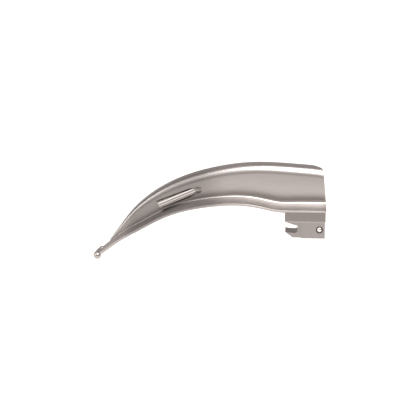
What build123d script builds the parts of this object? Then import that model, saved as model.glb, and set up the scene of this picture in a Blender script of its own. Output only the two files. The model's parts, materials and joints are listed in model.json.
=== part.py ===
from build123d import *
import math
import os

# Curved hook-on laryngoscope blade, size 3, with a fibre light guide.  Millimetres.
# Origin: centre of the hook's seat, on the blade's mid-width plane.
# -X runs towards the tip, +X towards the rear of the heel, -Y is the blade's right side,
# +Y its left side and +Z points from the heel's base towards the flange.

# ---- Driving dimensions: blade ----
reach = 128.0  # from the rear end of the spatula to its tip
web_height = 20.85  # tallest part of the web, above the spatula
spatula_top = 12.4  # height of the spatula's upper face over the hook's centre
spatula_thick = 1.4
spatula_right_heel = 7.9  # from the mid-width plane to the right rim, at the heel
spatula_right_tip = 6.2
spatula_droop_heel = 1.2  # how far the right rim hangs below the foot of the web
spatula_droop_tip = 0.2
web_thick = 1.5
web_thick_end = 0.35  # flange thickness where the web runs out
flange_overhang = 8.8  # flange past the web's left face
flange_overhang_end = 0.3
flange_bend = 4.9  # outer radius of the bend between web and flange
flange_bend_end = 0.5
flange_fade = 8  # power at which the flange narrows towards the web's end
bend_fade = 4  # power for the plate's thickness and the bend
foot_fillet_heel = 1.9  # hollow between web and spatula
foot_fillet_end = 0.12
foot_corner = 0.5  # rounding on the web's left lower edge
edge_rounding = 0.46  # radius of the rims, as a share of their thickness
spatula_overhang = 0.2  # behind the heel block
flange_corner = 9.5  # plan radius of the flange's rear corner
rim_corner = 1.6  # plan radius of the spatula's rear corner

# ---- Driving dimensions: tip bead ----
bead_diameter = 4.1
bead_right = 6.0  # from the mid-width plane to the centre of the right end
bead_left = 3.7
bead_left_diameter = 3.2
bead_sweep_back = 1.9  # how far the left end curves back
bead_bow = 0.45  # how far the middle stands ahead of the right end
bead_bow_place = -0.3  # where that is, from the mid-width plane

# ---- Driving dimensions: heel block ----
block_width = 13.0
shoulder = 0.2  # the upper block stands this much proud of the cheeks
block_front = 5.4  # ahead of the hook's centre
block_rear = 16.9
rear_lip = 0.3  # the upper block's step at the rear
block_base = 4.95  # below the hook's centre
step_height = 4.3  # line between cheeks and shoulder
block_front_bevel = 1.1
block_edge = 0.15  # chamfer round the cheeks
hook_pin_diameter = 4.5
hook_clearance = 0.05  # radial, round the handle's hinge pin
mouth_upper_angle = 17.5
mouth_lower_angle = 3.0
mouth_lip_angle = 12.0  # of the lower jaw's lip
mouth_lip_start = 3.3  # ahead of the hook's centre
jaw_nose_height = -1.9
jaw_nose_setback = 0.3
jaw_chamfer_start = -1.0  # where the base starts, behind the nose
hook_cheek_length = 3.6  # thinned cheek round the hook, behind the hook's centre
hook_cheek_depth = 1.5
cove_radius = 0.9  # ground hollow between the block and the spatula

# ---- Driving dimensions: ball detents ----
detent_from_rear = 3.0
detent_z = 0.05
detent_wall = 0.8  # between the sleeves and the shoe's pocket
ball_diameter = 3.0
ball_proud = 0.8
ball_travel = 0.8
ball_clearance = 0.05
sleeve_diameter = 4.0
sleeve_length = 5.0
sleeve_floor = 0.5
sleeve_lip = 0.3
spring_wire = 0.32
spring_coil_radius = 1.15
spring_turns = 3.5
spring_play = 0.03  # at each end

# ---- Driving dimensions: light guide ----
tube_diameter = 3.9
tube_wall = 0.3
tube_side_gap = 0.3  # between the tube and the web's left face
groove_clearance = 0.1  # radial, round the tube where it crosses the web
recess_start = 1.4  # recess in the web round the tube, behind the tube's outlet
recess_length = 20.6
recess_border = 0.4  # past the tube, on each side
recess_depth = 0.5
recess_slope = 40
bulge_diameter = 4.4  # pressed bulge where the tube passes behind the web
bulge_proud = 0.55
bulge_overlap = 0.8  # over the end of the recess
outlet_along = 0.731  # share of the reach from the heel to the tube's outlet
outlet_right = 1.9  # past the web's right face
outlet_drop = 2.2  # below the spatula's height at the heel
front_bend_along = 0.4875  # share of the reach from the heel to the tube's front bend
front_bend_height = 0.494  # share of the web's height
rear_bend_along = 0.308
rear_bend_height = 0.4317
drop_bend_ahead = 3.6  # of the block's front, where the tube drops behind the web
drop_bend_height = 0.8  # over the spatula
heel_bend_ahead = 0.8
tube_bend_radii = [30.0, 20.0, 9.0, 4.2]  # front, rear, drop and heel bend
bundle_turn_radius = 3.4  # of the glass inside the carrier
tube_seat = 1.4  # length of tube held inside the carrier
tube_over_base = 2.45  # from the carrier's underside to the tube's centre
carrier_front = 1.0
carrier_rear_gap = 0.3  # ahead of the block's rear
carrier_height = 4.9
carrier_proud = 4.5
carrier_round = 0.6
shoe_length = 7.2
shoe_right = 2.6  # past the mid-width plane
shoe_top = 8.9
shoe_fit = 0.04
ferrule_diameter = 4.5
ferrule_length = 4.0
screw_from_rear = 2.4
screw_diameter = 2.0
screw_clearance = 0.1
screw_countersink = 40
screw_head_diameter = 3.8
screw_head_depth = 1.2
screw_slot = 0.5
screw_slot_turn = 35
screw_length = 8.0
screw_tip_room = 0.5
saddle_length = 7.0
saddle_wall = 0.6
saddle_foot = 2.4
saddle_along = 0.54  # share of the tube's level run
dowel_diameter = 2.0
dowel_length = 5.4
dowel_depth = 0.7  # into the spatula
bond_gap = 0.02  # radial, round pieces that are pressed or bonded in
slip_gap = 0.05  # between pieces that slide together when they are put in
beyond = 1.0  # how far a cut runs past what it cuts

# ---- Worked-out places ----
half_width = block_width / 2
block_top = spatula_top - spatula_thick
spatula_rear = block_rear + rear_lip + spatula_overhang
web_left = half_width + shoulder
web_right = web_left - web_thick
hook_radius = hook_pin_diameter / 2 + hook_clearance
ball_radius = ball_diameter / 2
tube_y = web_left + tube_side_gap + tube_diameter / 2
bundle_diameter = tube_diameter - 2 * (tube_wall + slip_gap)
detent_x = block_rear - detent_from_rear
shoe_middle = detent_x - sleeve_diameter / 2 - detent_wall - shoe_length / 2
carrier_base = step_height + slip_gap
carrier_left = web_left + carrier_proud
carrier_rear = block_rear - carrier_rear_gap
tube_at_heel = carrier_base + tube_over_base
front_bend_x = spatula_rear - front_bend_along * reach
rear_bend_x = spatula_rear - rear_bend_along * reach
screw_x = carrier_rear - screw_from_rear
screw_z = carrier_base + carrier_height / 2

# Sections of the blade, heel to tip: fraction of the reach, rise of the spatula as a
# fraction of the reach, height of the web as a fraction of its tallest, lean in degrees.
sections = [
    (0.000, 0.0000, 0.905, 5.3),
    (0.050, 0.0000, 0.935, 3.4),
    (0.110, -0.0004, 0.962, 1.6),
    (0.165, -0.0015, 0.990, 0.8),
    (0.212, 0.0005, 0.993, 0.6),
    (0.277, 0.0130, 0.925, 1.8),
    (0.370, 0.0245, 0.820, 3.4),
    (0.480, 0.0187, 0.730, 9.6),
    (0.589, 0.0000, 0.637, 17.9),
    (0.714, -0.0430, 0.514, 25.3),
    (0.823, -0.1040, 0.358, 30.7),
    (0.894, -0.1460, 0.158, 33.5),
    (0.9445, -0.1828, 0.036, 36.5),
]
tip_rise = -0.2250
web_end = sections[-1][0]


def fade(along, power):
    """1 over most of the blade, falling to 0 where the web runs out."""
    return 1 - (along / web_end) ** power


def between(first, second, share):
    """A size that changes evenly from the first to the second."""
    return first + (second - first) * share


def section_plane(along, rise, lean):
    """Plane across the blade: its x is the part's +Y and its y leans up the web."""
    foot = (spatula_rear - reach * along, 0, spatula_top + reach * rise)
    tilt = math.radians(lean)
    return Plane(origin=foot, x_dir=(0, 1, 0), z_dir=(math.cos(tilt), 0, math.sin(tilt)))


def spatula_rim(along):
    """Lower and upper corner of the right rim, in a section plane."""
    rim = -between(spatula_right_heel, spatula_right_tip, along)
    droop = between(spatula_droop_heel, spatula_droop_tip, along**2)
    return (rim, -spatula_thick - droop), (rim, -droop)


def web_outline(along, height):
    """Corners and corner radii of the whole section: spatula, web and flange."""
    rim_low, rim_high = spatula_rim(along)
    plate = between(web_thick_end, web_thick, fade(along, bend_fade))
    bend = between(flange_bend_end, flange_bend, fade(along, bend_fade))
    edge = web_left + between(flange_overhang_end, flange_overhang, fade(along, flange_fade))
    corners = [
        (rim_low, edge_rounding * spatula_thick),
        ((web_left, -spatula_thick), foot_corner),
        ((web_left, height - plate), bend - plate),
        ((edge, height - plate), edge_rounding * plate),
        ((edge, height), edge_rounding * plate),
        ((web_right, height), bend),
        ((web_right, 0), between(foot_fillet_heel, foot_fillet_end, along / web_end)),
        (rim_high, edge_rounding * spatula_thick),
    ]
    return [point for point, radius in corners], [radius for point, radius in corners]


# ---- Blade: spatula, web, flange and tip bead, forged in one piece ----
with BuildPart() as web_body:
    for along, rise, height, lean in sections:
        with BuildSketch(section_plane(along, rise, lean)):
            with BuildLine():
                points, radii = web_outline(along, web_height * height)
                FilletPolyline(*points, radius=radii, close=True)
            make_face()
    loft()


# ---- Route of the light guide, outlet to heel ----
outlet = Vector(
    spatula_rear - reach * outlet_along, web_right - outlet_right, spatula_top - outlet_drop
)
bend_points = [
    Vector(front_bend_x, tube_y, spatula_top + front_bend_height * web_height),
    Vector(rear_bend_x, tube_y, spatula_top + rear_bend_height * web_height),
    Vector(-block_front - drop_bend_ahead, tube_y, spatula_top + drop_bend_height),
    Vector(-block_front - heel_bend_ahead, tube_y, tube_at_heel),
]
tube_end = Vector(carrier_front + tube_seat, tube_y, tube_at_heel)
bundle_turns = [
    Vector(shoe_middle, tube_y, tube_at_heel),
    Vector(shoe_middle, 0, tube_at_heel),
    Vector(shoe_middle, 0, -block_base),
]
run = (bend_points[0] - outlet).normalized()


def guide_path(points, radii):
    """Straight runs joined by tangent arcs."""
    with BuildLine() as path:
        FilletPolyline(*points, radius=radii)
    return path.wire()


def swept(path, outer, inner=0.0):
    """Round bar along a path, or a tube when an inner radius is given."""
    with BuildPart() as bar:
        with BuildSketch(Plane(origin=path @ 0, z_dir=path % 0)):
            Circle(outer)
            if inner:
                Circle(inner, mode=Mode.SUBTRACT)
        sweep(path=path)
    return bar.part


def along_y(x, z, radius, start, end):
    """Round bar parallel to Y."""
    with BuildPart() as bar:
        with BuildSketch(Plane(origin=(x, start, z), x_dir=(1, 0, 0), z_dir=(0, 1, 0))):
            Circle(radius)
        extrude(amount=end - start)
    return bar.part


def upright(x, y, radius, low, high):
    """Round bar parallel to Z."""
    with BuildPart() as bar:
        with BuildSketch(Plane.XY.offset(low)):
            with Locations((x, y)):
                Circle(radius)
        extrude(amount=high - low)
    return bar.part


tube_path = guide_path([outlet] + bend_points + [tube_end], tube_bend_radii)
bundle_path = guide_path(
    [outlet] + bend_points + bundle_turns, tube_bend_radii + [bundle_turn_radius] * 2
)

dowel_places = [(-1.6, 0.0), (13.4, -3.4)]
dowel_top = block_top + dowel_depth - spatula_droop_heel / 2
dowel_low = dowel_top - dowel_length

# Tip of the spatula beyond the end of the web, up to the bead
tip_lean = sections[-1][3]
tip_plane = section_plane(1, tip_rise, tip_lean)
with BuildPart() as tip_plate:
    for plane, along, left in (
        (section_plane(*sections[-1][:2], tip_lean), web_end, web_left),
        (tip_plane, 1, bead_left),
    ):
        rounding = edge_rounding * spatula_thick
        rim_low, rim_high = spatula_rim(along)
        with BuildSketch(plane):
            with BuildLine():
                FilletPolyline(
                    rim_low, (left, -spatula_thick), (left, 0), rim_high,
                    radius=[rounding, foot_corner, rounding, rounding],
                    close=True,
                )
            make_face()
    loft()

# Smooth bead across the tip: its left end curves back
bead_middle = tip_plane.origin - tip_plane.y_dir * (spatula_thick + spatula_droop_tip) / 2
bead_plane = Plane(origin=bead_middle, x_dir=(0, 1, 0), z_dir=tip_plane.y_dir)
with BuildPart() as tip_bead:
    with BuildLine(bead_plane) as bead_line:
        ThreePointArc((-bead_right, 0), (bead_bow_place, bead_bow), (bead_left, -bead_sweep_back))
    bead_path = bead_line.wire()
    bead_ends = ((0, bead_diameter / 2), (1, bead_left_diameter / 2))
    for place, radius in bead_ends:
        with BuildSketch(Plane(origin=bead_path @ place, z_dir=bead_path % place)):
            Circle(radius)
    sweep(path=bead_path, multisection=True)
    for place, radius in bead_ends:
        with Locations(bead_path @ place):
            Sphere(radius)

# Recess in the web round the tube, with a pressed bulge behind it
web_face = Plane(origin=(outlet.X, web_right, outlet.Z), x_dir=(1, 0, 0), z_dir=(0, -1, 0))
tube_slope = math.degrees(math.atan2(run.Z, run.X))
recess_middle = recess_start + recess_length / 2
bulge_middle = recess_start + recess_length + bulge_diameter / 2 - bulge_overlap


def on_slope(distance):
    """Point of the web's face at a distance along the tube."""
    slope = math.radians(tube_slope)
    return (distance * math.cos(slope), distance * math.sin(slope))


with BuildPart() as recess:
    with BuildSketch(web_face.offset(beyond)):
        with Locations(on_slope(recess_middle)):
            SlotOverall(recess_length, tube_diameter + 2 * recess_border, rotation=tube_slope)
    extrude(amount=-beyond)
    with BuildSketch(web_face):
        with Locations(on_slope(recess_middle)):
            SlotOverall(recess_length, tube_diameter + 2 * recess_border, rotation=tube_slope)
    extrude(amount=-recess_depth, taper=recess_slope)

dome_radius = (bulge_diameter**2 / 4 + bulge_proud**2) / (2 * bulge_proud)
with BuildPart() as bulge:
    with Locations(web_face.offset(bulge_proud - dome_radius) * Pos(*on_slope(bulge_middle))):
        Sphere(dome_radius)
    split(bisect_by=web_face.offset(-web_thick / 3), keep=Keep.TOP)

# Plan tool that rounds the flange's rear corner
flange_edge = web_left + flange_overhang
rim_cut_height = spatula_thick + spatula_droop_heel + beyond
corner_x = spatula_rear - math.tan(math.radians(sections[0][3])) * web_height - flange_corner
with BuildPart() as corner_cut:
    with BuildSketch(Plane.XY.offset(spatula_top + web_height / 2)):
        with Locations((corner_x, flange_edge - flange_corner)):
            Rectangle(flange_corner + 3 * beyond, flange_corner + beyond,
                      align=(Align.MIN, Align.MIN))
            Circle(flange_corner, mode=Mode.SUBTRACT)
    extrude(amount=web_height)

with BuildPart() as rim_cut:
    with BuildSketch(Plane.XY.offset(spatula_top - rim_cut_height)):
        with Locations((spatula_rear - rim_corner, rim_corner - spatula_right_heel)):
            Rectangle(rim_corner + beyond, rim_corner + beyond, align=(Align.MIN, Align.MAX))
            Circle(rim_corner, mode=Mode.SUBTRACT)
    extrude(amount=rim_cut_height + beyond)

with BuildPart() as blade:
    add(web_body.part)
    add(tip_plate.part)
    add(tip_bead.part)
    add(bulge.part)
    add(recess.part, mode=Mode.SUBTRACT)
    add(corner_cut.part, mode=Mode.SUBTRACT)
    add(rim_cut.part, mode=Mode.SUBTRACT)
    add(swept(tube_path, tube_diameter / 2 + groove_clearance), mode=Mode.SUBTRACT)
    for x, y in dowel_places:
        add(upright(x, y, dowel_diameter / 2 + bond_gap, dowel_low, dowel_top + bond_gap),
            mode=Mode.SUBTRACT)

# ---- Heel block ----
mouth_end = block_front + beyond
mouth_rise = math.tan(math.radians(mouth_upper_angle)) * mouth_end
lip_height = math.tan(math.radians(mouth_lower_angle)) * mouth_lip_start - hook_radius
lip_rise = math.tan(math.radians(mouth_lip_angle)) * (mouth_end - mouth_lip_start)
upper_front = block_front_bevel - block_front

with BuildPart() as cove:
    side = -half_width - shoulder
    underside_slope = spatula_droop_heel / (web_left + spatula_right_heel)
    cove_top = block_top - (web_left + cove_radius - side) * underside_slope
    into_spatula = spatula_thick / 2
    with BuildSketch(Plane.YZ.offset(upper_front)):
        with Locations((side, cove_top + into_spatula)):
            Rectangle(cove_radius, cove_radius + into_spatula, align=(Align.MAX, Align.MAX))
        with Locations((side - cove_radius, cove_top - cove_radius)):
            Circle(cove_radius, mode=Mode.SUBTRACT)
    extrude(amount=block_rear + rear_lip - upper_front)
    add(rim_cut.part, mode=Mode.SUBTRACT)

with BuildPart() as hook_slot:
    with BuildSketch(Plane.XZ.offset(-half_width - beyond)):
        Circle(hook_radius)
        with BuildLine():
            Polyline(
                (0, hook_radius),
                (-mouth_end, hook_radius + mouth_rise),
                (-mouth_end, lip_height + lip_rise),
                (-mouth_lip_start, lip_height),
                (0, -hook_radius),
                close=True,
            )
        make_face()
    extrude(amount=block_width + 2 * beyond)

with BuildPart() as heel_block:
    with BuildSketch(Plane.XZ):
        with BuildLine():
            Polyline(
                (block_rear, -block_base),
                (block_rear, step_height),
                (-block_front, step_height),
                (-block_front, 0),
                (jaw_nose_setback - block_front, jaw_nose_height),
                (jaw_chamfer_start, -block_base),
                close=True,
            )
        make_face()
    extrude(amount=half_width, both=True)
    chamfer(heel_block.faces().filter_by(Axis.Y).edges(), block_edge)
    for end in (-1, 1):
        with BuildSketch(Plane.XZ.offset(-end * half_width)):
            with Locations((-block_front - beyond, -block_base - beyond)):
                Rectangle(block_front + beyond + hook_cheek_length,
                          block_base + beyond + step_height, align=(Align.MIN, Align.MIN))
        extrude(amount=end * hook_cheek_depth, mode=Mode.SUBTRACT)
    with BuildSketch(Plane.XY.offset(step_height)) as shoulder_plan:
        with Locations(((block_rear + rear_lip - block_front) / 2, 0)):
            Rectangle(block_rear + rear_lip + block_front, block_width + 2 * shoulder)
        chamfer(shoulder_plan.vertices().group_by(Axis.X)[0], block_front_bevel)
    extrude(amount=block_top - step_height)
    add(cove.part)
    add(hook_slot.part, mode=Mode.SUBTRACT)
    for end in (-1, 1):
        add(along_y(detent_x, detent_z, sleeve_diameter / 2 + bond_gap,
                    end * (half_width - sleeve_length - bond_gap), end * (half_width + beyond)),
            mode=Mode.SUBTRACT)
    with BuildSketch(Plane.XY.offset(-block_base - beyond)):
        with Locations((shoe_middle, -shoe_right - shoe_fit)):
            Rectangle(shoe_length + 2 * shoe_fit, shoe_right + web_left + beyond,
                      align=(Align.CENTER, Align.MIN))
    extrude(amount=block_base + beyond + shoe_top + shoe_fit, mode=Mode.SUBTRACT)
    for x, y in dowel_places:
        add(upright(x, y, dowel_diameter / 2 + bond_gap, dowel_low - bond_gap, block_top),
            mode=Mode.SUBTRACT)
    add(along_y(screw_x, screw_z, screw_diameter / 2 + bond_gap,
                carrier_left - screw_length - screw_tip_room, web_left + beyond),
        mode=Mode.SUBTRACT)
    add(blade.part, mode=Mode.SUBTRACT)

with BuildPart() as heel_dowels:
    for x, y in dowel_places:
        add(upright(x, y, dowel_diameter / 2, dowel_low, dowel_top))

# ---- Light guide ----
with BuildPart() as light_tube:
    add(swept(tube_path, tube_diameter / 2, tube_diameter / 2 - tube_wall))

with BuildPart() as fibre_bundle:
    add(swept(bundle_path, bundle_diameter / 2))

with BuildPart() as light_carrier:
    with BuildSketch(Plane.XZ.offset(-web_left - bond_gap)):
        with Locations((carrier_front, carrier_base)):
            Rectangle(carrier_rear - carrier_front, carrier_height, align=(Align.MIN, Align.MIN))
    extrude(amount=-carrier_proud)
    fillet(light_carrier.faces().sort_by(Axis.Y)[-1].edges(), carrier_round)
    with BuildSketch(Plane.XY.offset(-block_base)):
        with Locations((shoe_middle, -shoe_right)):
            Rectangle(shoe_length, shoe_right + half_width, align=(Align.CENTER, Align.MIN))
    extrude(amount=block_base + carrier_base)
    with BuildSketch(Plane.XY.offset(carrier_base)):
        with Locations((shoe_middle, -shoe_right)):
            Rectangle(shoe_length, shoe_right + web_left + beyond,
                      align=(Align.CENTER, Align.MIN))
    extrude(amount=shoe_top - carrier_base)
    add(swept(bundle_path, bundle_diameter / 2 + slip_gap), mode=Mode.SUBTRACT)
    add(upright(shoe_middle, 0, ferrule_diameter / 2 + bond_gap,
                -block_base - beyond, ferrule_length - block_base + bond_gap),
        mode=Mode.SUBTRACT)
    with BuildSketch(Plane.YZ.offset(carrier_front)):
        with Locations((tube_y, tube_at_heel)):
            Circle(tube_diameter / 2 + bond_gap)
    extrude(amount=tube_seat + bond_gap, mode=Mode.SUBTRACT)
    add(along_y(screw_x, screw_z, screw_diameter / 2 + screw_clearance,
                web_left - beyond, carrier_left + beyond), mode=Mode.SUBTRACT)
    with BuildSketch(Plane.XZ.offset(-carrier_left - bond_gap)):
        with Locations((screw_x, screw_z)):
            Circle(screw_head_diameter / 2 + slip_gap)
    extrude(amount=screw_head_depth, taper=screw_countersink, mode=Mode.SUBTRACT)

with BuildPart() as carrier_screw:
    with BuildSketch(Plane.XZ.offset(-carrier_left)):
        with Locations((screw_x, screw_z)):
            Circle(screw_head_diameter / 2)
    extrude(amount=screw_head_depth, taper=screw_countersink)
    add(along_y(screw_x, screw_z, screw_diameter / 2, carrier_left - screw_length, carrier_left))
    with BuildSketch(Plane.XZ.offset(-carrier_left)):
        with Locations((screw_x, screw_z)):
            Rectangle(screw_head_diameter + beyond, screw_slot, rotation=screw_slot_turn)
    extrude(amount=screw_slot, mode=Mode.SUBTRACT)

with BuildPart() as entry_ferrule:
    add(upright(shoe_middle, 0, ferrule_diameter / 2, -block_base, ferrule_length - block_base))
    add(upright(shoe_middle, 0, bundle_diameter / 2 + slip_gap,
                -block_base - beyond, ferrule_length), mode=Mode.SUBTRACT)

# Saddle that holds the tube to the web's left face
level_run = (bend_points[1] - bend_points[0]).normalized()
saddle_place = bend_points[0] + (bend_points[1] - bend_points[0]) * saddle_along
saddle_inner = tube_diameter / 2 + slip_gap
saddle_outer = saddle_inner + saddle_wall
with BuildPart() as tube_saddle:
    with BuildSketch(Plane(origin=saddle_place, x_dir=(0, 1, 0), z_dir=level_run)) as saddle_sketch:
        Circle(saddle_outer)
        with Locations((web_left - tube_y, 0)):
            Rectangle(saddle_wall, 2 * (saddle_outer + saddle_foot), align=(Align.MIN, Align.CENTER))
        Circle(saddle_inner, mode=Mode.SUBTRACT)
        with Locations((web_left - tube_y, 0)):
            Rectangle(saddle_outer, 4 * saddle_outer, align=(Align.MAX, Align.CENTER),
                      mode=Mode.SUBTRACT)
            Rectangle(tube_y - web_left, 2 * saddle_inner, align=(Align.MIN, Align.CENTER),
                      mode=Mode.SUBTRACT)
    extrude(amount=saddle_length / 2, both=True)


# ---- Ball detents ----
def detent(side):
    """Sleeve, ball and spring of one cheek: -1 is the right side, 1 the left."""
    mouth = (detent_x, side * half_width, detent_z)
    plane = Plane(origin=mouth, x_dir=(1, 0, 0), z_dir=(0, 0, side))
    outward = Axis(mouth, (0, side, 0))
    ball_depth = ball_radius - ball_proud
    bore = ball_radius + ball_clearance
    lip_mouth = math.sqrt(ball_radius**2 - ball_depth**2) + ball_clearance
    lip_inner = math.sqrt(ball_radius**2 - (ball_depth - sleeve_lip) ** 2) + ball_clearance
    with BuildPart() as sleeve:
        with BuildSketch(plane):
            with BuildLine():
                Polyline(
                    (lip_mouth, 0),
                    (sleeve_diameter / 2, 0),
                    (sleeve_diameter / 2, -sleeve_length),
                    (0, -sleeve_length),
                    (0, sleeve_floor - sleeve_length),
                    (bore, sleeve_floor - sleeve_length),
                    (bore, -sleeve_lip),
                    (lip_inner, -sleeve_lip),
                    close=True,
                )
            make_face()
        revolve(axis=outward)
    with BuildPart() as ball:
        with Locations((detent_x, side * (half_width - ball_depth), detent_z)):
            Sphere(ball_radius)
    wire_radius = spring_wire / 2
    reach_out = ball_radius + wire_radius + spring_play
    touch = math.sqrt(reach_out**2 - spring_coil_radius**2)
    seat = sleeve_length - sleeve_floor - wire_radius - spring_play
    height = seat - ball_depth - touch
    with BuildPart() as spring:
        with BuildLine() as coil:
            Helix(
                pitch=height / spring_turns,
                height=height,
                radius=spring_coil_radius,
                center=(detent_x, side * (half_width - seat), detent_z),
                direction=(0, side, 0),
            )
        with BuildSketch(Plane(origin=coil.wire() @ 0, z_dir=coil.wire() % 0)):
            Circle(wire_radius)
        sweep(path=coil.wire(), is_frenet=True)
    return sleeve.part, ball.part, spring.part


pieces = {
    "blade": blade.part,
    "heel_block": heel_block.part,
    "heel_dowels": heel_dowels.part,
    "light_tube": light_tube.part,
    "fibre_bundle": fibre_bundle.part,
    "light_carrier": light_carrier.part,
    "carrier_screw": carrier_screw.part,
    "entry_ferrule": entry_ferrule.part,
    "tube_saddle": tube_saddle.part,
}
for name, side in (("right", -1), ("left", 1)):
    sleeve, ball, spring = detent(side)
    pieces["detent_sleeve_" + name] = sleeve
    pieces["detent_ball_" + name] = ball
    pieces["detent_spring_" + name] = spring

os.makedirs("parts", exist_ok=True)
for name, piece in pieces.items():
    piece.label = name
    export_step(piece, "parts/" + name + ".step")
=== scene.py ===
import json
import math

import bpy
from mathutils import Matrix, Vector


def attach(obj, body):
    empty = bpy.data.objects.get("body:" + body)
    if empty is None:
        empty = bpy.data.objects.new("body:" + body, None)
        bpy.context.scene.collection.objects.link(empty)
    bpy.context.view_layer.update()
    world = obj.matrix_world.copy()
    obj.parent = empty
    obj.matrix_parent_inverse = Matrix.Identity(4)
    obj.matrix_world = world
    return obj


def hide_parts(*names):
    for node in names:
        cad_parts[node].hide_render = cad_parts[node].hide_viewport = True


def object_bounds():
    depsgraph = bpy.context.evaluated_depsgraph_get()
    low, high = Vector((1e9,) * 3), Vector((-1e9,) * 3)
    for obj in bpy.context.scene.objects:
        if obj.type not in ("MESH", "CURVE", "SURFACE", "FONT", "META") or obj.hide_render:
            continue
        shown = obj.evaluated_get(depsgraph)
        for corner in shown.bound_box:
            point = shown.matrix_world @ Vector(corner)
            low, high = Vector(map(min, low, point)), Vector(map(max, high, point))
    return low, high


# Curved laryngoscope blade of satin steel with its heel block, light guide and locking balls.
# Metres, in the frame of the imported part: the tip points to -X, the heel to +X, the blade's
# right side to -Y and the flange to +Z.

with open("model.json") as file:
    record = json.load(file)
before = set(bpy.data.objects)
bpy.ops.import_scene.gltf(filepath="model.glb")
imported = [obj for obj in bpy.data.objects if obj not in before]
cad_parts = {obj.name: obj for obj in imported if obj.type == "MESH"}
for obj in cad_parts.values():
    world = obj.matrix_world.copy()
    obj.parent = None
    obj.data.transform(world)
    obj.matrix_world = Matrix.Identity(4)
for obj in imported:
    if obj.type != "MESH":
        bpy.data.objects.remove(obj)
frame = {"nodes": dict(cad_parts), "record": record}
cad_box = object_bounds()
mm = 0.001

# ---- Sizes of the blade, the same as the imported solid's, in millimetres ----
reach = 128.0
spatula_rear = 17.4
web_height = 20.85
spatula_top = 12.4
spatula_thick = 1.4
spatula_right = (7.9, 6.2)  # at the heel, at the tip
spatula_droop = (1.2, 0.2)
spatula_hollow = 0.25  # dip of the upper face between web and rim, as a share of its droop
web_left = 6.7
web_right = 5.2
web_plate = (1.5, 0.35)  # thickness at the heel, where the web runs out
flange_overhang = (8.8, 0.3)
flange_bend = (4.9, 0.5)
foot_hollow = (1.9, 0.12)
foot_corner = 0.5
step_height = 4.3  # of the heel block's cheeks
edge_rounding = 0.46
working_edge = 0.2  # rounding of the spatula's upper rim
flange_fade = 8
bend_fade = 4
web_end = 0.9445
run_out = 0.012  # share of the reach over which the web's end melts into the plate
bead_diameter = 4.1
bead_right = 6.0  # from the mid-width plane to the centre of the right end
bead_left = 3.7
bead_left_diameter = 3.2
bead_sweep_back = 1.9  # how far the left end curves back
bead_bow = 0.45  # how far the middle stands ahead of the right end
bead_bow_place = -0.3  # where that is, from the mid-width plane
flange_corner = 9.5  # rounding of the flange's rear left corner
spatula_corner = 1.6  # rounding of the spatula's rear right corner

# Heel to tip: fraction of the reach, rise of the spatula as a fraction of the reach, height of
# the web as a fraction of its tallest, lean of the web in degrees.
stations = [
    (0.000, 0.0000, 0.905, 5.3),
    (0.050, 0.0000, 0.935, 3.4),
    (0.110, -0.0004, 0.962, 1.6),
    (0.165, -0.0015, 0.990, 0.8),
    (0.212, 0.0005, 0.993, 0.6),
    (0.277, 0.0130, 0.925, 1.8),
    (0.370, 0.0245, 0.820, 3.4),
    (0.480, 0.0187, 0.730, 9.6),
    (0.589, 0.0000, 0.637, 17.9),
    (0.714, -0.0430, 0.514, 25.3),
    (0.823, -0.1040, 0.358, 30.7),
    (0.894, -0.1460, 0.158, 33.5),
    (web_end, -0.1828, 0.036, 36.5),
]
tip_rise = -0.2250


def curve_through(places, values):
    """Natural cubic spline through the values, as a function of the place."""
    last = len(places) - 1
    gaps = [b - a for a, b in zip(places, places[1:])]
    slopes = [(b - a) / gap for a, b, gap in zip(values, values[1:], gaps)]
    bends = [0.0] * (last + 1)
    share = [0.0] * (last + 1)
    for i in range(1, last):
        pivot = 2 * (gaps[i - 1] + gaps[i]) - gaps[i - 1] * share[i - 1]
        share[i] = gaps[i] / pivot
        bends[i] = (6 * (slopes[i] - slopes[i - 1]) - gaps[i - 1] * bends[i - 1]) / pivot
    for i in range(last - 1, 0, -1):
        bends[i] -= share[i] * bends[i + 1]

    def value(place):
        i = max(k for k in range(last) if k == 0 or places[k] <= place)
        gap, before, after = gaps[i], place - places[i], places[i + 1] - place
        return (
            (bends[i] * after**3 + bends[i + 1] * before**3) / (6 * gap)
            + (values[i] / gap - bends[i] * gap / 6) * after
            + (values[i + 1] / gap - bends[i + 1] * gap / 6) * before
        )

    return value


columns = list(zip(*stations))
rise_at, height_at, lean_at = (curve_through(columns[0], column) for column in columns[1:])


def between(ends, share):
    """Value that changes evenly from the first of the ends to the second."""
    return ends[0] + (ends[1] - ends[0]) * share


def ease(share):
    """Smooth step from 0 to 1."""
    share = min(1.0, max(0.0, share))
    return share * share * (3 - 2 * share)


def rounded(corners):
    """Closed outline through corners (point, radius, points on the arc, points on the run)."""
    outline = []
    count = len(corners)
    for i, (point, radius, on_arc, on_run) in enumerate(corners):
        here = Vector(point)
        back = (Vector(corners[i - 1][0]) - here).normalized()
        ahead = (Vector(corners[(i + 1) % count][0]) - here).normalized()
        half_turn = (math.pi - back.angle(ahead)) / 2
        middle = here + (back + ahead).normalized() * radius / math.cos(half_turn)
        first = here + back * radius * math.tan(half_turn) - middle
        turn = first.angle_signed(here + ahead * radius * math.tan(half_turn) - middle)
        arc = []
        for k in range(on_arc):
            angle = -turn * k / (on_arc - 1)
            cosine, sine = math.cos(angle), math.sin(angle)
            arc.append(middle + Vector((first.x * cosine - first.y * sine,
                                        first.x * sine + first.y * cosine)))
        outline.append((arc, on_run))
    ring = []
    for i, (arc, on_run) in enumerate(outline):
        ring += arc
        start, end = arc[-1], outline[(i + 1) % count][0][0]
        ring += [start.lerp(end, k / (on_run + 1)) for k in range(1, on_run + 1)]
    return ring


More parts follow.
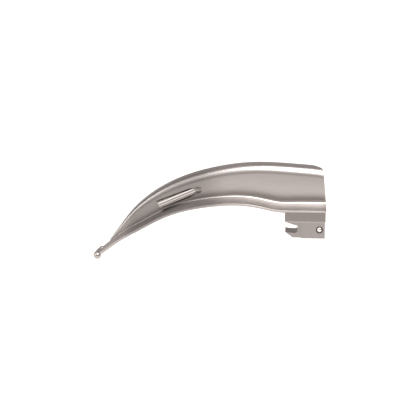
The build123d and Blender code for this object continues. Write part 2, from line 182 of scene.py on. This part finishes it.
# Points on the arc and on the run after it, corner by corner round the whole section
spread = {
    "rim_low": (6, 14),
    "foot": (5, 10),
    "inner_bend": (9, 6),
    "lip_low": (5, 1),
    "lip_high": (5, 6),
    "outer_bend": (17, 26),
    "hollow": (11, 20),
    "rim_high": (6, 2),
}
web_points = sum(sum(spread[name]) for name in ("inner_bend", "lip_low", "lip_high", "outer_bend"))


def hollowed(ring, depth):
    """Dips the spatula's upper face between the hollow at the web's foot and the rim."""
    on_run = spread["hollow"][1]
    first = sum(sum(spread[name]) for name in list(spread)[:6]) + spread["hollow"][0]
    for k in range(on_run):
        share = (k + 1) / (on_run + 1)
        ring[first + k].y -= depth * 4 * share * (1 - share) * ease(share / 0.15)
    return ring


def rim(along):
    """Lower and upper corner of the right rim, and how far it hangs."""
    right = -between(spatula_right, along)
    droop = between(spatula_droop, along**2)
    low = ((right, -spatula_thick - droop), edge_rounding * spatula_thick, *spread["rim_low"])
    high = ((right, -droop), working_edge * spatula_thick, *spread["rim_high"])
    return low, high, droop


def web_ring(along):
    """Whole section across the blade: spatula, web and flange."""
    low, high, droop = rim(along)
    plate = between(web_plate, (along / web_end) ** bend_fade)
    bend = between(flange_bend, (along / web_end) ** bend_fade)
    edge = web_left + between(flange_overhang, (along / web_end) ** flange_fade)
    hollow = between(foot_hollow, along / web_end)
    height = web_height * height_at(along)
    ring = rounded([
        low,
        ((web_left, -spatula_thick), foot_corner, *spread["foot"]),
        ((web_left, height - plate), bend - plate, *spread["inner_bend"]),
        ((edge, height - plate), edge_rounding * plate, *spread["lip_low"]),
        ((edge, height), edge_rounding * plate, *spread["lip_high"]),
        ((web_right, height), bend, *spread["outer_bend"]),
        ((web_right, 0), hollow, *spread["hollow"]),
        high,
    ])
    return hollowed(ring, spatula_hollow * droop)


def plate_ring(along):
    """Section of the plate beyond the web, point for point like the web's."""
    low, high, droop = rim(along)
    left = between((web_left, bead_left), (along - web_end) / (1 - web_end))
    rounding = edge_rounding * spatula_thick
    top = web_points + spread["hollow"][0]
    ring = rounded([
        low,
        ((left, -spatula_thick), foot_corner, *spread["foot"]),
        ((left, 0), rounding, top, spread["hollow"][1]),
        high,
    ])
    return hollowed(ring, spatula_hollow * droop)


def placed(ring, along):
    """Ring of a section plane, in the row frame."""
    past = max(0.0, (along - web_end) / (1 - web_end))
    rise = rise_at(along) if along < web_end else between((rise_at(web_end), tip_rise), past)
    tilt = math.radians(lean_at(min(along, web_end)))
    foot = Vector((spatula_rear - reach * along, 0, spatula_top + reach * rise))
    up = Vector((-math.sin(tilt), 0, math.cos(tilt)))
    return [(foot + Vector((0, point.x, 0)) + up * point.y) * mm for point in ring]


def blade_ring(along):
    """Ring of the blade's skin, where the web's last section melts into the plate's."""
    if along <= web_end:
        return placed(web_ring(along), along)
    share = ease((along - web_end) / run_out)
    last_web = web_ring(web_end)
    plate = plate_ring(along)
    return placed([a.lerp(b, share) for a, b in zip(last_web, plate)], along)


def skin(name, rings, closed_ends=True, polish=None):
    """Mesh over rings of points, with a UV map in metres: along the rings, then round them.

    The polish gives a second map: how matt a point is, and how high the polished surface stands.
    """
    count = len(rings[0])
    matt, slopes, shares = polish or ([0.0] * count, [0.0] * count, [0.0] * len(rings))
    zones = []
    points = [point for ring in rings for point in ring]
    faces = []
    uv = []
    along = 0.0
    runs = [0.0]
    for before, after in zip(rings, rings[1:]):
        along += (after[0] - before[0]).length
        runs.append(along)
    rounds = []
    heights = []
    for ring, share in zip(rings, shares):
        girth = [0.0]
        height = [0.0]
        for k in range(count):
            step = (ring[(k + 1) % count] - ring[k]).length
            girth.append(girth[-1] + step)
            height.append(height[-1] + slopes[k] * share * step)
        rounds.append(girth)
        heights.append(height)
    for i in range(len(rings) - 1):
        for k in range(count):
            ahead = (k + 1) % count
            faces.append((i * count + k, (i + 1) * count + k,
                          (i + 1) * count + ahead, i * count + ahead))
            uv += [(runs[i], rounds[i][k]), (runs[i + 1], rounds[i + 1][k]),
                   (runs[i + 1], rounds[i + 1][k + 1]), (runs[i], rounds[i][k + 1])]
            zones += [(matt[k], heights[i][k]), (matt[k], heights[i + 1][k]),
                      (matt[ahead], heights[i + 1][k + 1]), (matt[ahead], heights[i][k + 1])]
    if closed_ends:
        last = (len(rings) - 1) * count
        faces.append(tuple(range(count)))
        faces.append(tuple(last + k for k in reversed(range(count))))
        uv += [(0, 0)] * (2 * count)
        zones += [(0, 0)] * (2 * count)
    mesh = bpy.data.meshes.new(name)
    mesh.from_pydata(points, [], faces)
    for name, places in (("grain", uv), ("polish", zones)):
        layer = mesh.uv_layers.new(name=name)
        for loop, place in zip(layer.data, places):
            loop.uv = place
    return mesh


# Polish round the section, corner by corner: at the arc's start, at its end, at the run's end
matt_table = {
    "rim_low": (0.4, 0.4, 0.4),
    "foot": (0.4, 0.4, 0.0),
    "outer_bend": (0.0, 0.6, 0.0),
    "hollow": (0.0, 1.0, 1.0),
    "rim_high": (0.0, 0.0, 0.4),
}
crown_table = {"outer_bend": (0.0, 0.08, -0.13), "hollow": (-0.13, -0.28, 0.0)}


def round_the_ring(table):
    """Value at each point of a ring, from those at its corners."""
    values = []
    for name, (on_arc, on_run) in spread.items():
        first, middle, last = table.get(name, (0.0, 0.0, 0.0))
        values += [between((first, middle), k / on_arc) for k in range(on_arc)]
        values += [between((middle, last), k / on_run) for k in range(on_run)]
    return values


def station_places():
    """Fractions of the reach at which the blade's mesh has a ring."""
    on_body, on_tip = 210, 8
    body = [web_end * k / on_body for k in range(on_body + 1)]
    melt = [web_end + run_out * k / on_tip for k in range(1, on_tip + 1)]
    plate = 1 - web_end - run_out
    tip = [web_end + run_out + plate * k / on_tip for k in range(1, on_tip + 1)]
    return body + melt + tip


def bead_rings():
    """Smooth bead across the tip: its left end is thinner and curves back."""
    ends = (Vector((-bead_right, 0)), Vector((bead_left, -bead_sweep_back)))
    crown = Vector((bead_bow_place, bead_bow))
    radii = (bead_diameter / 2, bead_left_diameter / 2)
    tilt = math.radians(lean_at(web_end))
    up = Vector((-math.sin(tilt), 0, math.cos(tilt)))
    ahead = Vector((-math.cos(tilt), 0, -math.sin(tilt)))
    across = Vector((0, 1, 0))
    origin = Vector((spatula_rear - reach, 0, spatula_top + reach * tip_rise))
    origin -= up * (spatula_thick + spatula_droop[1]) / 2
    a, b, c = ends[0], crown, ends[1]
    turn = 2 * (a.x * (b.y - c.y) + b.x * (c.y - a.y) + c.x * (a.y - b.y))
    squares = [p.length_squared for p in (a, b, c)]
    middle = Vector((
        (squares[0] * (b.y - c.y) + squares[1] * (c.y - a.y) + squares[2] * (a.y - b.y)) / turn,
        (squares[0] * (c.x - b.x) + squares[1] * (a.x - c.x) + squares[2] * (b.x - a.x)) / turn,
    ))
    radius = (a - middle).length
    first, last = (math.atan2(*(p - middle).yx) for p in ends)
    steps, cap_steps, girth = 28, 12, 40
    rings = []
    for k in range(-cap_steps + 1, steps + cap_steps):
        share = min(1.0, max(0.0, k / steps))
        angle = first + (last - first) * share
        flat = Vector((math.cos(angle), math.sin(angle)))
        centre = origin + across * (middle.x + flat.x * radius) + ahead * (middle.y + flat.y * radius)
        outward = across * flat.x + ahead * flat.y
        along = (across * -flat.y + ahead * flat.x) * math.copysign(1, last - first)
        past = max(-k, k - steps, 0) / cap_steps * math.pi / 2
        size = between(radii, share)
        centre += along * math.copysign(size * math.sin(past), k)
        size *= math.cos(past)
        rings.append([
            (centre + (outward * math.cos(t) + up * math.sin(t)) * size) * mm
            for t in (2 * math.pi * j / girth for j in range(girth))
        ])
    return rings


# ---- Light guide's seat in the web ----
tube_radius = 1.95
tube_clearance = 0.3  # to the web's left face
groove_clearance = 0.1  # radial, round the tube where it crosses the web
recess_start = 1.4  # behind the tube's outlet
recess_length = 20.6
recess_border = 0.4  # past the tube, on each side
recess_depth = 0.5
recess_slope = 40
bulge_diameter = 4.4  # pressed bulge where the tube passes behind the web
bulge_proud = 0.55
bulge_overlap = 0.8  # over the end of the recess
outlet_along = 0.731  # share of the reach from the heel to the tube's outlet
outlet_right = 1.9  # past the web's right face
outlet_drop = 2.2  # below the spatula's height at the heel
front_bend = (0.4875, 0.494)  # share of the reach, share of the web's height
rear_bend = (0.308, 0.4317)
bend_radius = 30.0
round_steps = 48  # round a bar or a dome

outlet = Vector((
    spatula_rear - reach * outlet_along, web_right - outlet_right, spatula_top - outlet_drop
))
tube_y = web_left + tube_clearance + tube_radius
bends = [
    Vector((spatula_rear - along * reach, tube_y, spatula_top + up * web_height))
    for along, up in (front_bend, rear_bend)
]
guide_run = bends[0] - outlet
guide_slope = math.atan2(guide_run.z, guide_run.x)


def on_web(distance, aside=0.0, out=0.0):
    """Place on the web's right face, by its distance along the tube from the outlet."""
    cosine, sine = math.cos(guide_slope), math.sin(guide_slope)
    return Vector((
        outlet.x + distance * cosine - aside * sine,
        web_right - out,
        outlet.z + distance * sine + aside * cosine,
    ))


def groove_rings():
    """Round bar along the tube's first run and bend, a little thicker than the tube."""
    back = (outlet - bends[0]).normalized()
    ahead = (bends[1] - bends[0]).normalized()
    half_turn = (math.pi - back.angle(ahead)) / 2
    middle = bends[0] + (back + ahead).normalized() * bend_radius / math.cos(half_turn)
    first = bends[0] + back * bend_radius * math.tan(half_turn)
    last = bends[0] + ahead * bend_radius * math.tan(half_turn)
    steps, past = 12, 4
    path = [outlet, first]
    path += [
        middle + (first - middle).slerp(last - middle, k / steps).normalized() * bend_radius
        for k in range(1, steps + 1)
    ]
    path += [last + ahead * past]
    radius = tube_radius + groove_clearance
    rings = []
    for i, point in enumerate(path):
        heading = (path[min(i + 1, len(path) - 1)] - path[max(i - 1, 0)]).normalized()
        side = heading.cross(Vector((0, 1, 0))).normalized()
        other = heading.cross(side)
        rings.append([
            (point + (side * math.cos(t) + other * math.sin(t)) * radius) * mm
            for t in (2 * math.pi * j / round_steps for j in range(round_steps))
        ])
    return rings


def recess_rings():
    """Shallow obround recess round the tube, with sloping walls."""
    half, above, steps = tube_radius + recess_border, 1.0, 24
    inset = recess_depth * math.tan(math.radians(recess_slope))
    end = recess_start + recess_length
    rings = []
    for out, shrink in ((above, 0.0), (0.0, 0.0), (-recess_depth, inset)):
        size = half - shrink
        ring = []
        for centre, first in ((end - half, -90), (recess_start + half, 90)):
            for k in range(steps + 1):
                angle = math.radians(first + 180 * k / steps)
                ring.append(on_web(centre + size * math.cos(angle), size * math.sin(angle), out) * mm)
        rings.append(ring)
    return rings


def bulge_rings():
    """Low dome pressed out of the web behind the tube."""
    sunk, steps = 0.5, 14
    ball = (bulge_diameter**2 / 4 + bulge_proud**2) / (2 * bulge_proud)
    widest = math.acos((ball - bulge_proud - sunk) / ball)
    middle = on_web(recess_start + recess_length + bulge_diameter / 2 - bulge_overlap)
    rings = []
    for k in range(1, steps + 1):
        angle = widest * k / steps
        rings.append([
            (middle + Vector((ball * math.sin(angle) * math.cos(t),
                              ball - bulge_proud - ball * math.cos(angle),
                              ball * math.sin(angle) * math.sin(t)))) * mm
            for t in (2 * math.pi * j / round_steps for j in range(round_steps))
        ])
    return rings


def corner_rings(centre, radius, signs, span):
    """Upright cutter that rounds a corner of the plan."""
    past, steps = radius + 1.5, 32
    turns = [math.pi / 2 * j / steps for j in range(steps + 1)]
    arc = [Vector((math.cos(t), math.sin(t))) * radius for t in turns]
    outline = arc + [Vector((0, past)), Vector((past, past)), Vector((past, 0))]
    return [
        [Vector((centre[0] + p.x * signs[0], centre[1] + p.y * signs[1], z)) * mm for p in outline]
        for z in span
    ]


def outward(mesh):
    """Turns a closed mesh's faces outward."""
    twice_area = sum(p.area * p.normal.dot(p.center) for p in mesh.polygons)
    if twice_area < 0:
        mesh.flip_normals()
    return mesh


def combined(name, mesh, joined, cut):
    """The mesh with others joined to it and cut out of it."""
    piece = bpy.data.objects.new(name, outward(mesh))
    bpy.context.scene.collection.objects.link(piece)
    tools = []
    for operation, rings in [("UNION", r) for r in joined] + [("DIFFERENCE", r) for r in cut]:
        tool = bpy.data.objects.new("tool", outward(skin("tool", rings)))
        bpy.context.scene.collection.objects.link(tool)
        step = piece.modifiers.new("step", "BOOLEAN")
        step.operation = operation
        step.solver = "EXACT"
        step.object = tool
        tools.append(tool)
    bpy.context.view_layer.update()
    depsgraph = bpy.context.evaluated_depsgraph_get()
    result = bpy.data.meshes.new_from_object(piece.evaluated_get(depsgraph))
    piece.modifiers.clear()
    piece.data = result
    for tool in tools:
        bpy.data.objects.remove(tool)
    return piece


heel_lean = math.tan(math.radians(stations[0][3])) * web_height
flange_middle = (spatula_rear - heel_lean - flange_corner,
                 web_left + flange_overhang[0] - flange_corner)
spatula_middle = (spatula_rear - spatula_corner, spatula_corner - spatula_right[0])
blade = combined(
    "blade_skin",
    skin("blade_skin", [blade_ring(along) for along in station_places()],
         polish=(round_the_ring(matt_table), round_the_ring(crown_table),
                 [1 - along for along in station_places()])),
    joined=[bead_rings(), bulge_rings()],
    cut=[
        groove_rings(),
        recess_rings(),
        corner_rings(flange_middle, flange_corner, (1, 1), (22.8, 43.4)),
        corner_rings(spatula_middle, spatula_corner, (1, -1), (8.4, 14.4)),
    ],
)
blade.data.shade_smooth()
blade.data.set_sharp_from_angle(angle=math.radians(38))
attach(blade, "blade_body")
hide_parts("blade")


# ---- Finishes ----
class Wire:
    """A value in a finish's graph: Python's operators on it add Math nodes."""

    def __init__(self, graph, socket):
        self.graph = graph
        self.socket = socket

    def maths(self, operation, *values):
        return self.graph.node("Math", {"operation": operation}, *values)

    def __add__(self, other):
        return self.maths("ADD", self, other)

    def __sub__(self, other):
        return self.maths("SUBTRACT", self, other)

    def __rsub__(self, other):
        return self.maths("SUBTRACT", other, self)

    def __mul__(self, other):
        return self.maths("MULTIPLY", self, other)

    def band(self, low, high):
        """Smooth ramp from 0 at low to 1 at high."""
        return self.graph.node(
            "MapRange", {"interpolation_type": "SMOOTHSTEP"}, self, low, high, 0.0, 1.0
        )


class Graph:
    """The nodes of one material or of the world."""

    def __init__(self, owner):
        owner.use_nodes = True
        self.tree = owner.node_tree
        self.tree.nodes.clear()

    def node(self, kind, settings=None, *values, output=0, **named):
        """Adds a node: its settings, then its sockets by place or by name."""
        made = self.tree.nodes.new("ShaderNode" + kind)
        for setting, value in (settings or {}).items():
            setattr(made, setting, value)
        sockets = [s for s in made.inputs if s.enabled]
        by_name = {s.name.replace(" ", "_"): s for s in reversed(sockets)}
        pairs = list(zip(sockets, values)) + [(by_name[key], v) for key, v in named.items()]
        for socket, value in pairs:
            if isinstance(value, Wire):
                self.tree.links.new(value.socket, socket)
            elif value is not None:
                socket.default_value = value
        if isinstance(output, str):
            return Wire(self, made.outputs[output])
        given = [s for s in made.outputs if s.enabled]
        return Wire(self, given[output] if given else None)

    def blend(self, share, first, second):
        """Colour between two colours."""
        return self.node("Mix", {"data_type": "RGBA"}, share, first, second)

    def scaled(self, vector, *sizes):
        """Coordinates stretched along each axis."""
        return self.node("VectorMath", {"operation": "MULTIPLY"}, vector, sizes)

    def noise(self, vector, scale=1.0, detail=2.0):
        """Soft random pattern, 0 to 1."""
        return self.node("TexNoise", None, Vector=vector, Scale=scale, Detail=detail)


def shade(colour, factor):
    """A colour made lighter or darker."""
    return tuple(c * factor for c in colour[:3]) + (1.0,)


def steel(name, colour, roughness, grain, map_output="Object", streaks=0.12, relief=0.12,
          marks=(), matt=0.0):
    """Brushed or ground steel. The grain gives how many lines a metre has along each axis."""
    material = bpy.data.materials.new(name)
    graph = Graph(material)
    place = graph.node("TexCoord", output=map_output)
    body = graph.node("TexCoord", output="Object")
    polish = graph.node("UVMap", {"uv_map": "polish"})
    fine = graph.noise(graph.scaled(place, *grain), detail=3.0)
    broad = graph.noise(graph.scaled(place, *(g * 0.12 for g in grain)), detail=2.0)
    cloud = graph.noise(body, scale=70.0, detail=1.0)
    tone = (fine - 0.5) * streaks + (broad - 0.5) * streaks + (cloud - 0.5) * 0.1 + 0.5
    base = graph.blend(tone, shade(colour, 0.75), shade(colour, 1.25))
    for mark, mark_colour in marks:
        base = graph.blend(mark(graph, body), base, shade(mark_colour, 1.0))
    crown = graph.node("Bump", None, Strength=1.0, Distance=1.0,
                       Height=graph.node("SeparateXYZ", None, polish, output=1))
    bump = graph.node("Bump", None, Strength=relief, Distance=0.00003, Height=fine, Normal=crown)
    surface = graph.node(
        "BsdfPrincipled",
        Base_Color=base,
        Metallic=1.0,
        Roughness=(fine - 0.5) * 0.12 + (cloud - 0.5) * 0.06 + roughness
        + graph.node("SeparateXYZ", None, polish) * matt,
        Normal=bump,
    )
    graph.node("OutputMaterial", None, surface)
    return material


def painted_shade_by_tube(graph, place):
    """Painted shade: a dark band along both sides of the light tube, where it sinks into the web."""
    ahead = Vector((math.cos(guide_slope), 0, math.sin(guide_slope)))
    aside = Vector((-ahead.z, 0, ahead.x))
    offset = graph.node("VectorMath", {"operation": "SUBTRACT"}, place, outlet * mm)
    along = graph.node("VectorMath", {"operation": "DOT_PRODUCT"}, offset, ahead)
    across = graph.node("VectorMath", {"operation": "DOT_PRODUCT"}, offset, aside)
    apart = graph.node("Math", {"operation": "ABSOLUTE"}, across)
    beside = apart.band(0.8 * tube_radius * mm, tube_radius * mm) * (
        1.0 - apart.band((tube_radius + 0.35) * mm, (tube_radius + 0.7) * mm))
    length = along.band(-1.5 * mm, 0.0) * (1.0 - along.band(17.0 * mm, 23.0 * mm))
    return beside * length * 0.85


def painted_front_shade(graph, place):
    """Painted shade: the front half of the blade darkened, short of its tip."""
    ahead = graph.node("SeparateXYZ", None, place) * -1.0
    return ahead.band(36 * mm, 56 * mm) * (1.0 - ahead.band(90 * mm, 98 * mm)) * 0.6


def shoulder_strip(graph, place):
    """Darker strip of the heel block over the step."""
    height = graph.node("SeparateXYZ", None, place, output=2)
    return height.band((step_height + 0.3) * mm, (step_height + 0.9) * mm) * 0.6


def painted_step_highlight(graph, place):
    """Painted highlight: a light line where the cheeks of the heel block meet its shoulder."""
    height = graph.node("SeparateXYZ", None, place, output=2)
    low, high = step_height - 0.5, step_height + 0.6
    return height.band(low * mm, step_height * mm) * (1.0 - height.band(step_height * mm, high * mm)) * 0.6


warm_steel = (0.437, 0.405, 0.389)
blade.data.materials.clear()
# Painted shade on the blade: its front half is darkened, and a dark band runs round the light tube.
blade.data.materials.append(
    steel("satin_steel_brushed", warm_steel, 0.30, (60.0, 7000.0, 1.0), map_output="UV", matt=0.18,
          marks=[(painted_front_shade, (0.22, 0.203, 0.195)), (painted_shade_by_tube, (0.05, 0.043, 0.04))],
          streaks=0.25)
)

finishes = {
    # The block's light line at the step is a painted highlight.
    "block_steel": steel("block_steel_milled", shade(warm_steel, 0.75), 0.36, (4200.0, 4200.0, 150.0),
                         marks=[(shoulder_strip, (0.20, 0.18, 0.17)), (painted_step_highlight, (0.55, 0.52, 0.50))]),
    "pin_steel": steel("pin_steel_ground", shade(warm_steel, 0.9), 0.25, (3000.0, 300.0, 3000.0)),
    "polished_steel": steel("polished_steel_buffed", (0.74, 0.70, 0.68), 0.07,
                            (900.0, 900.0, 900.0), streaks=0.03, relief=0.01),
    "carrier_steel": steel("carrier_steel_satin", warm_steel, 0.32, (300.0, 4200.0, 4200.0)),
    # The sleeve's near-black colour is painted shade for the dark gap round the locking ball.
    "sleeve_steel": steel("sleeve_steel_blackened", (0.09, 0.078, 0.07), 0.35, (4000.0, 300.0, 4000.0)),
    "spring_steel": steel("spring_steel_drawn", shade(warm_steel, 0.7), 0.3, (2000.0, 2000.0, 2000.0)),
}


def glass():
    """Polished ends of packed glass fibres."""
    material = bpy.data.materials.new("fibre_ends")
    graph = Graph(material)
    place = graph.node("TexCoord", output="Object")
    cell = graph.node("TexVoronoi", None, Vector=place, Scale=9000.0)
    surface = graph.node(
        "BsdfPrincipled",
        Base_Color=graph.blend(cell.band(0.2, 0.7), (0.82, 0.84, 0.80, 1), (0.30, 0.30, 0.28, 1)),
        Roughness=0.12,
    )
    graph.node("OutputMaterial", None, surface)
    return material


finishes["glass_fibre"] = glass()
slots = {part["node"]: part["material_slot"] for part in frame["record"]["subparts"]}
for name, node in frame["nodes"].items():
    if name == "blade":
        continue
    for slot in node.material_slots:
        slot.material = finishes[slots[name]]

# ---- Studio ----
floor_drop = 0.10
white = (1.0, 0.965, 0.945, 1.0)


def flat_sheet(name, size, height):
    """Level square, its middle under the frame's origin."""
    mesh = bpy.data.meshes.new(name)
    half = size / 2
    corners = [(-half, -half, height), (half, -half, height), (half, half, height), (-half, half, height)]
    mesh.from_pydata(corners, [], [(0, 1, 2, 3)])
    sheet = bpy.data.objects.new(name, mesh)
    bpy.context.scene.collection.objects.link(sheet)
    return sheet


def seen_directly(graph):
    """1 for rays that show the background: from the camera, a reflection or through glass."""
    kinds = [graph.node("LightPath", output=kind)
             for kind in ("Is Camera Ray", "Is Glossy Ray", "Is Transmission Ray")]
    return graph.node("Math", {"operation": "MAXIMUM"}, kinds[0],
                      graph.node("Math", {"operation": "MAXIMUM"}, kinds[1], kinds[2]))


floor = flat_sheet("floor", 30.0, cad_box[0][2] - floor_drop)
floor_material = bpy.data.materials.new("pale_floor")
graph = Graph(floor_material)
paper = graph.node("BsdfDiffuse", None, (0.35, 0.342, 0.337, 1.0))
glow = graph.node("Emission", None, white, seen_directly(graph) * 0.93)
graph.node("OutputMaterial", None, graph.node("AddShader", None, paper, glow))
floor.data.materials.append(floor_material)

world = bpy.data.worlds.new("studio")
bpy.context.scene.world = world
graph = Graph(world)
way = graph.node("SeparateXYZ", None, graph.node("TexCoord", output="Generated"), output=2)
show = seen_directly(graph) * (1.0 - way.band(0.0, 0.03))
room = (0.48, 0.445, 0.43, 1.0)
graph.node("OutputWorld", None, graph.node(
    "Background", None, graph.blend(show, room, (1.0, 1.0, 1.0, 1.0)), 1.0))


def softbox(name, place, target, width, height, power):
    """Rectangular lamp turned to the target."""
    lamp = bpy.data.lights.new(name, "AREA")
    lamp.shape = "RECTANGLE"
    lamp.size = width
    lamp.size_y = height
    lamp.energy = power
    holder = bpy.data.objects.new(name, lamp)
    holder.location = place
    holder.rotation_euler = (Vector(target) - Vector(place)).to_track_quat("-Z", "Y").to_euler()
    bpy.context.scene.collection.objects.link(holder)


middle = Vector((-0.0483, 0.0, 0.0099))  # what the lamps and the camera look at
softbox("overhead_softbox", (0.17, -0.29, 0.9514), middle, 0.68, 0.86, 12.4)
softbox("side_panel", (-0.58, -0.42, 0.76), middle, 0.9, 0.9, 2.3)
softbox("tip_strip", (-0.92, -0.25, 0.44), middle, 0.40, 0.9, 3.4)

# ---- Camera ----
azimuth, elevation, distance = math.radians(3.5), math.radians(15.0), 0.9
camera_data = bpy.data.cameras.new("camera")
camera_data.sensor_width = 36.0
camera_data.lens = 139.6
camera = bpy.data.objects.new("camera", camera_data)
back = Vector((math.sin(azimuth) * math.cos(elevation),
               -math.cos(azimuth) * math.cos(elevation),
               math.sin(elevation)))
camera.location = middle + back * distance
camera.rotation_euler = (-back).to_track_quat("-Z", "Y").to_euler()
bpy.context.scene.collection.objects.link(camera)
bpy.context.scene.camera = camera
bpy.context.scene.view_settings.view_transform = "Standard"
